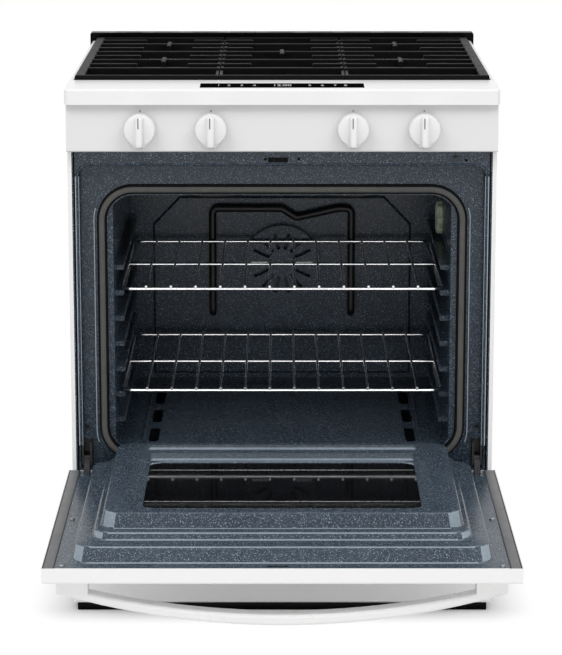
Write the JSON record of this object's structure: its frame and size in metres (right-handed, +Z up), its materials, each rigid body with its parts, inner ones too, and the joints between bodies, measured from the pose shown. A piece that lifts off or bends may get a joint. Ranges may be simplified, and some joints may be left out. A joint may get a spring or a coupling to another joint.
{
  "type": "freestanding gas range",
  "caption": "Freestanding gas range with a dropped-down oven door, bowed handle, wire racks, cast grates over a sunken burner well, front dials and a storage drawer.",
  "frame": {"origin": "on the floor at mid width, in the plane of the front frame's face", "axes": "+X to the right of a user facing the range, +Y from the front frame to the rear panel, +Z up"},
  "size_m": [0.759, 1.221, 0.958],
  "materials": {
    "white_paint": "smooth gloss",
    "slate_enamel": "speckled gloss enamel",
    "black_enamel": "gloss",
    "cast_iron": "matt enamel",
    "burner_alloy": "cast satin",
    "rack_chrome": "bright",
    "bright_steel": "bright",
    "zinc_steel": "galvanised",
    "dark_tube": "oxidised",
    "white_plastic": "smooth",
    "black_plastic": "matt",
    "dark_glass": "tinted gloss",
    "lamp_glass": "clear",
    "gasket_braid": "woven",
    "insulation_wool": "fibrous",
    "ceramic": "glazed ceramic",
    "valve_brass": "machined"
  },
  "bodies": {
    "body": {"cooktop": "white_paint", "control_panel": "white_paint", "side_panel_left": "white_paint", "side_panel_right": "white_paint", "front_frame": "slate_enamel", "oven_wall_left": "slate_enamel", "oven_wall_right": "slate_enamel", "oven_ceiling": "slate_enamel", "oven_back_wall": "slate_enamel", "oven_floor_panel": "slate_enamel", "burner_box": "slate_enamel", "fan_cover": "slate_enamel", "burner_well": "black_enamel", "rear_trim": "black_enamel", "burner_caps": "cast_iron", "burner_heads": "burner_alloy", "pressure_regulator": "burner_alloy", "temperature_probe": "bright_steel", "rear_panel": "zinc_steel", "base_frame": "zinc_steel", "gas_manifold": "zinc_steel", "fan_motor": "zinc_steel", "bake_burner": "dark_tube", "broil_burner": "dark_tube", "convection_element": "dark_tube", "hinge_receivers": "dark_tube", "leveling_legs": "black_plastic", "cord_gland": "black_plastic", "control_board": "black_plastic", "control_glass": "dark_glass", "oven_lamp": "lamp_glass", "oven_gasket": "gasket_braid", "oven_insulation": "insulation_wool", "spark_electrodes": "ceramic", "oven_igniters": "ceramic", "burner_valves": "valve_brass"},
    "door": {"door_skin": "white_paint", "door_liner": "slate_enamel", "inner_glass": "dark_glass", "outer_glass": "dark_glass", "door_handle": "white_plastic", "hinge_arms": "bright_steel"},
    "drawer": {"drawer_front": "white_paint", "drawer_box": "zinc_steel"},
    "rack_lower": {"oven_rack_lower": "rack_chrome"},
    "rack_upper": {"oven_rack_upper": "rack_chrome"},
    "grate_left_lift": {"grate_left": "cast_iron"},
    "grate_center_lift": {"grate_center": "cast_iron"},
    "grate_right_lift": {"grate_right": "cast_iron"},
    "fan": {"convection_fan": "bright_steel"},
    "switch": {"door_switch": "white_plastic"},
    "latch": {"door_latch": "bright_steel"},
    "stem_far_left": {"valve_stem_far_left": "bright_steel"},
    "dial_far_left": {"knob_far_left": "white_plastic"},
    "stem_left": {"valve_stem_left": "bright_steel"},
    "dial_left": {"knob_left": "white_plastic"},
    "stem_right": {"valve_stem_right": "bright_steel"},
    "dial_right": {"knob_right": "white_plastic"},
    "stem_far_right": {"valve_stem_far_right": "bright_steel"},
    "dial_far_right": {"knob_far_right": "white_plastic"}
  },
  "joints": [
    {"name": "door_hinge", "type": "hinge", "parent": "body", "child": "door", "pos_m": [0, 0.012, 0.273], "axis": [-1, 0, 0], "range_deg": [0, 90]},
    {"name": "switch_plunge", "type": "slide", "parent": "body", "child": "switch", "axis": [0, 1, 0], "range_m": [0, 0.0046]},
    {"name": "latch_slide", "type": "slide", "parent": "body", "child": "latch", "axis": [0, -1, 0], "range_m": [0, 0.016]},
    {"name": "drawer_slide", "type": "slide", "parent": "body", "child": "drawer", "axis": [0, -1, 0], "range_m": [0, 0.38]},
    {"name": "rack_lower_slide", "type": "slide", "parent": "body", "child": "rack_lower", "axis": [0, 1, 0], "range_m": [-0.33, 0]},
    {"name": "rack_upper_slide", "type": "slide", "parent": "body", "child": "rack_upper", "axis": [0, 1, 0], "range_m": [-0.33, 0]},
    {"name": "grate_left_slide", "type": "slide", "parent": "body", "child": "grate_left_lift", "axis": [0, 0, 1], "range_m": [0, 0.06]},
    {"name": "grate_center_slide", "type": "slide", "parent": "body", "child": "grate_center_lift", "axis": [0, 0, 1], "range_m": [0, 0.06]},
    {"name": "grate_right_slide", "type": "slide", "parent": "body", "child": "grate_right_lift", "axis": [0, 0, 1], "range_m": [0, 0.06]},
    {"name": "fan_spin", "type": "hinge", "parent": "body", "child": "fan", "pos_m": [0, 0.514, 0.527], "axis": [0, 1, 0], "continuous": true},
    {"name": "stem_far_left_push", "type": "slide", "parent": "body", "child": "stem_far_left", "axis": [0, 1, 0], "range_m": [0, 0.006], "stiffness_N_per_m": 400},
    {"name": "dial_far_left_turn", "type": "hinge", "parent": "stem_far_left", "child": "dial_far_left", "pos_m": [-0.245, -0.04, 0.874], "axis": [0, -1, 0], "range_deg": [0, 270]},
    {"name": "stem_left_push", "type": "slide", "parent": "body", "child": "stem_left", "axis": [0, 1, 0], "range_m": [0, 0.006], "stiffness_N_per_m": 400},
    {"name": "dial_left_turn", "type": "hinge", "parent": "stem_left", "child": "dial_left", "pos_m": [-0.1225, -0.04, 0.874], "axis": [0, -1, 0], "range_deg": [0, 270]},
    {"name": "stem_right_push", "type": "slide", "parent": "body", "child": "stem_right", "axis": [0, 1, 0], "range_m": [0, 0.006], "stiffness_N_per_m": 400},
    {"name": "dial_right_turn", "type": "hinge", "parent": "stem_right", "child": "dial_right", "pos_m": [0.1225, -0.04, 0.874], "axis": [0, -1, 0], "range_deg": [0, 270]},
    {"name": "stem_far_right_push", "type": "slide", "parent": "body", "child": "stem_far_right", "axis": [0, 1, 0], "range_m": [0, 0.006], "stiffness_N_per_m": 400},
    {"name": "dial_far_right_turn", "type": "hinge", "parent": "stem_far_right", "child": "dial_far_right", "pos_m": [0.245, -0.04, 0.874], "axis": [0, -1, 0], "range_deg": [0, 270]}
  ],
  "couplings": [
    {"joint": "switch_plunge", "follows": "door_hinge", "m_per_rad": 0.0028648}
  ]
}
